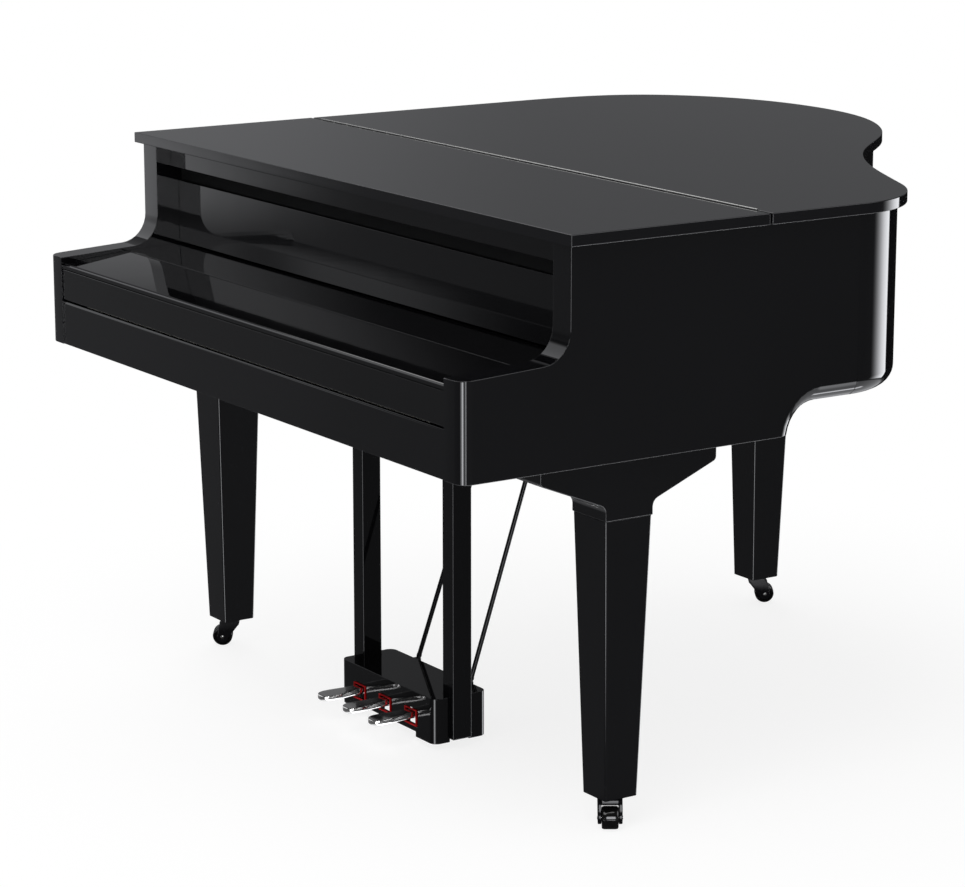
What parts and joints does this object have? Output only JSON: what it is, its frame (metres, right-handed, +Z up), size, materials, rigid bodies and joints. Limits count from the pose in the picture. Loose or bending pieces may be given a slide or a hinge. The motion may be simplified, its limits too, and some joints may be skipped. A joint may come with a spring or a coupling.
{
  "type": "digital grand piano",
  "caption": "Baby-grand shaped digital piano in polished black: folding lid, covered keyboard, music desk, pedal lyre and tapered legs on swivel casters.",
  "frame": {"origin": "on the floor under the middle of the piano's bounding box", "axes": "+Z up; the keyboard faces -Y and the curved tail points to +Y; the bass side is -X and the treble side is +X"},
  "size_m": [1.5001, 1.5739, 1.0527],
  "materials": {
    "case_ebony": "polished black polyester lacquer, mirror gloss",
    "cover_ebony": "polished black polyester lacquer, mirror gloss",
    "lid_ebony": "polished black polyester lacquer, slightly softer gloss",
    "desk_ebony": "polished black lacquer",
    "prop_ebony": "polished black lacquer",
    "leg_ebony": "polished black lacquer, satin edges",
    "lyre_ebony": "polished black lacquer",
    "inner_board": "matt black painted board",
    "soundboard_wood": "varnished spruce veneer",
    "speaker_cone": "matt black cone and frame",
    "grille_cloth": "black speaker cloth",
    "white_key": "ivory-look satin plastic",
    "black_key": "ebony-look matt plastic",
    "control_black": "satin black",
    "hinge_nickel": "polished nickel plate",
    "unit_steel": "zinc grey folded sheet steel",
    "socket_black": "moulded black",
    "caster_yoke": "black nickel, bright edges",
    "wheel_black": "gloss black nylon",
    "pedal_nickel": "polished nickel",
    "felt_red": "red wool felt",
    "rod_steel": "satin steel rod"
  },
  "bodies": {
    "root": {"bass_side_panel": "case_ebony", "treble_side_panel": "case_ebony", "curved_rim": "case_ebony", "front_beam": "case_ebony", "fallboard_panel": "case_ebony", "cover_strip": "case_ebony", "name_rail": "case_ebony", "key_slip": "case_ebony", "bass_key_block": "case_ebony", "treble_key_block": "case_ebony", "inner_deck": "case_ebony", "key_bed": "inner_board", "rear_bottom_board": "inner_board", "cross_board": "inner_board", "key_frame": "inner_board", "soundboard": "soundboard_wood", "bass_speaker": "speaker_cone", "treble_speaker": "speaker_cone", "grille_strip": "grille_cloth", "side_hinge_case_leaf": "hinge_nickel", "sound_unit": "unit_steel", "jack_box": "socket_black", "inlet_box": "socket_black", "bass_leg": "leg_ebony", "treble_leg": "leg_ebony", "tail_leg": "leg_ebony", "bass_corbel": "leg_ebony", "treble_corbel": "leg_ebony", "tail_leg_plate": "leg_ebony", "bass_lyre_post": "lyre_ebony", "treble_lyre_post": "lyre_ebony", "pedal_box": "lyre_ebony", "soft_felt": "felt_red", "sostenuto_felt": "felt_red", "damper_felt": "felt_red", "bass_brace_rod": "rod_steel", "treble_brace_rod": "rod_steel"},
    "lid": {"lid_main": "lid_ebony", "fold_hinge_main_leaf": "hinge_nickel", "side_hinge_lid_leaf": "hinge_nickel", "prop_bracket": "hinge_nickel"},
    "flap": {"lid_front": "lid_ebony", "fold_hinge_front_leaf": "hinge_nickel"},
    "prop": {"lid_prop": "prop_ebony"},
    "music_desk": {"music_rest": "desk_ebony"},
    "cover": {"key_cover": "cover_ebony", "cover_lip": "cover_ebony"},
    "white_key_set": {"white_keys": "white_key"},
    "black_key_set": {"black_keys": "black_key"},
    "button": {"power_button": "control_black"},
    "knob": {"volume_knob": "control_black"},
    "pedal_soft": {"soft_pedal": "pedal_nickel"},
    "pedal_sostenuto": {"sostenuto_pedal": "pedal_nickel"},
    "pedal_damper": {"damper_pedal": "pedal_nickel"},
    "bass_fork": {"caster_fork_bass": "caster_yoke"},
    "bass_wheel": {"caster_wheel_bass": "wheel_black"},
    "treble_fork": {"caster_fork_treble": "caster_yoke"},
    "treble_wheel": {"caster_wheel_treble": "wheel_black"},
    "tail_fork": {"caster_fork_tail": "caster_yoke"},
    "tail_wheel": {"caster_wheel_tail": "wheel_black"}
  },
  "joints": [
    {"name": "lid_open", "type": "hinge", "parent": "root", "child": "lid", "pos_m": [-0.7395, 0, 1.0245], "axis": [0, -1, 0], "range_deg": [0, 25]},
    {"name": "flap_fold", "type": "hinge", "parent": "lid", "child": "flap", "pos_m": [0, -0.1792, 1.0505], "axis": [-1, 0, 0], "range_deg": [0, 178]},
    {"name": "prop_swing", "type": "hinge", "parent": "lid", "child": "prop", "pos_m": [0.5, -0.12, 1.0178], "axis": [-0.766, -0.6428, 0], "range_deg": [0, 90]},
    {"name": "rest_raise", "type": "hinge", "parent": "root", "child": "music_desk", "pos_m": [0, -0.49, 0.9812], "axis": [1, 0, 0], "range_deg": [0, 70]},
    {"name": "cover_open", "type": "hinge", "parent": "root", "child": "cover", "pos_m": [0, -0.6485, 0.8242], "axis": [-1, 0, 0], "range_deg": [0, 97]},
    {"name": "white_keys_dip", "type": "hinge", "parent": "root", "child": "white_key_set", "pos_m": [0, -0.55, 0.7345], "axis": [1, 0, 0], "range_deg": [0, 2.6], "stiffness_Nm_per_rad": 60, "springref_deg": -6.88},
    {"name": "black_keys_dip", "type": "hinge", "parent": "root", "child": "black_key_set", "pos_m": [0, -0.55, 0.7345], "axis": [1, 0, 0], "range_deg": [0, 2.6], "stiffness_Nm_per_rad": 40, "springref_deg": -6.88},
    {"name": "power_press", "type": "slide", "parent": "root", "child": "button", "axis": [0, 0, -1], "range_m": [0, 0.0015], "stiffness_N_per_m": 300, "springref_m": -0.001},
    {"name": "volume_turn", "type": "hinge", "parent": "root", "child": "knob", "pos_m": [-0.648, -0.725, 0.7567], "axis": [0, 0, 1], "range_deg": [0, 300]},
    {"name": "soft_press", "type": "hinge", "parent": "root", "child": "pedal_soft", "pos_m": [-0.094, -0.395, 0.053], "axis": [1, 0, 0], "range_deg": [0, 4.5], "stiffness_Nm_per_rad": 20, "springref_deg": -5.73},
    {"name": "sostenuto_press", "type": "hinge", "parent": "root", "child": "pedal_sostenuto", "pos_m": [-0.004, -0.395, 0.053], "axis": [1, 0, 0], "range_deg": [0, 4.5], "stiffness_Nm_per_rad": 20, "springref_deg": -5.73},
    {"name": "damper_press", "type": "hinge", "parent": "root", "child": "pedal_damper", "pos_m": [0.086, -0.395, 0.053], "axis": [1, 0, 0], "range_deg": [0, 4.5], "stiffness_Nm_per_rad": 20, "springref_deg": -5.73},
    {"name": "bass_swivel", "type": "hinge", "parent": "root", "child": "bass_fork", "pos_m": [-0.6607, -0.4367, 0.057], "axis": [0, 0, 1], "continuous": true},
    {"name": "bass_roll", "type": "hinge", "parent": "bass_fork", "child": "bass_wheel", "pos_m": [-0.67063, -0.45171, 0.02], "axis": [0.8339, -0.5519, 0], "continuous": true},
    {"name": "treble_swivel", "type": "hinge", "parent": "root", "child": "treble_fork", "pos_m": [0.6607, -0.4367, 0.057], "axis": [0, 0, 1], "continuous": true},
    {"name": "treble_roll", "type": "hinge", "parent": "treble_fork", "child": "treble_wheel", "pos_m": [0.67571, -0.44664, 0.02], "axis": [0.5519, 0.8339, 0], "continuous": true},
    {"name": "tail_swivel", "type": "hinge", "parent": "root", "child": "tail_fork", "pos_m": [-0.3257, 0.6543, 0.057], "axis": [0, 0, 1], "continuous": true},
    {"name": "tail_roll", "type": "hinge", "parent": "tail_fork", "child": "tail_wheel", "pos_m": [-0.31577, 0.66931, 0.02], "axis": [-0.8339, 0.5519, 0], "continuous": true}
  ],
  "couplings": [
    {"joint": "prop_swing", "follows": "lid_open", "ratio": 3.6},
    {"joint": "rest_raise", "follows": "flap_fold", "ratio": 0.393}
  ]
}
